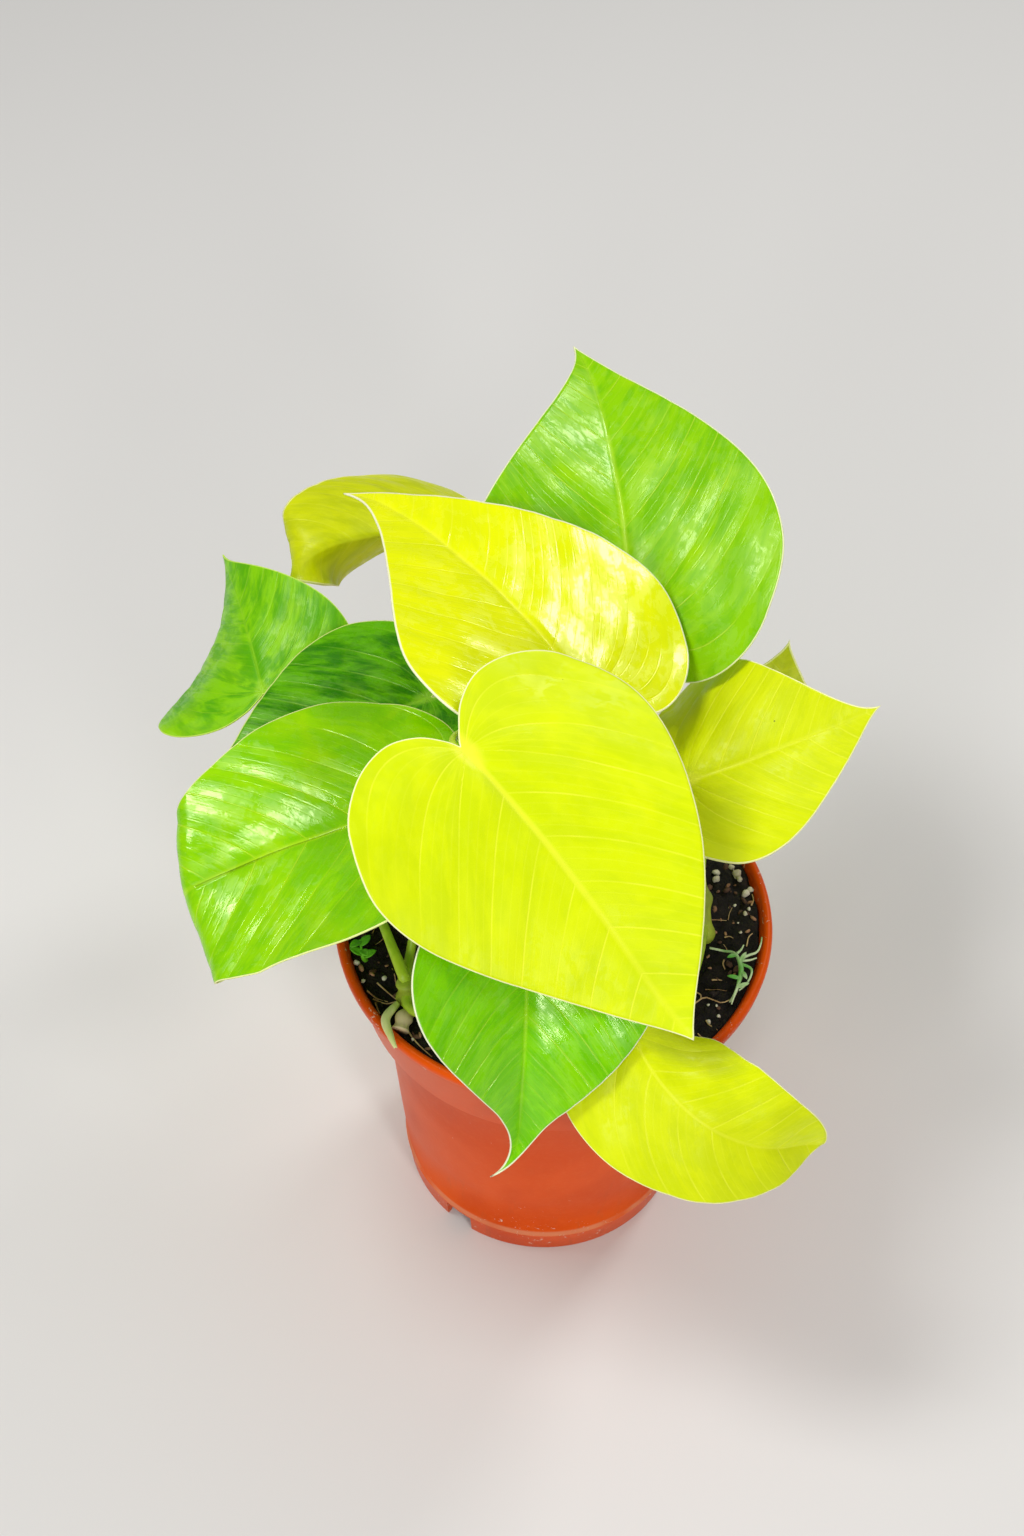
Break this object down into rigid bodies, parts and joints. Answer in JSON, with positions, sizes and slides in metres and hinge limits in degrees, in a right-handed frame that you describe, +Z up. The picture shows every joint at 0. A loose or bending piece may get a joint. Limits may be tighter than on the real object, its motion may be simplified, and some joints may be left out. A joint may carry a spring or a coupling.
{
  "type": "potted lemon lime heartleaf philodendron",
  "caption": "Young trailing aroid with heart-shaped yellow and green leaves on long stalks, growing in a tapered terracotta-coloured plastic nursery pot filled with soil.",
  "frame": {"origin": "centre of the bounding box in plan, at the surface that the pot stands on", "axes": "+Z up along the pot's axis, +Y away from the viewer of the picture, +X to the viewer's right"},
  "size_m": [0.204, 0.2456, 0.1866],
  "materials": {
    "terracotta_plastic": "satin, slightly scuffed, with pale water marks at the rim and foot",
    "potting_soil": "rough and loose",
    "green_stem": "smooth, slightly waxy",
    "dry_sheath": "dry and papery",
    "weed_green": "matt",
    "leaf_yellow": "semi-gloss, waxy",
    "leaf_green": "glossy, waxy",
    "leaf_dark_green": "glossy, waxy"
  },
  "bodies": {
    "root": {"pot": "terracotta_plastic", "soil": "potting_soil", "vine_left": "green_stem", "vine_right": "green_stem", "vine_back": "green_stem", "sheath_left": "dry_sheath", "weed_left": "weed_green", "weed_right": "weed_green", "leaf_front": "leaf_yellow", "leaf_upper": "leaf_yellow", "leaf_top": "leaf_green", "leaf_right": "leaf_yellow", "leaf_left": "leaf_green", "leaf_bottom": "leaf_green", "leaf_low_right": "leaf_yellow", "leaf_far_left": "leaf_green", "leaf_curled": "leaf_yellow", "leaf_mid_left": "leaf_dark_green", "leaf_small": "leaf_yellow"}
  },
  "joints": []
}
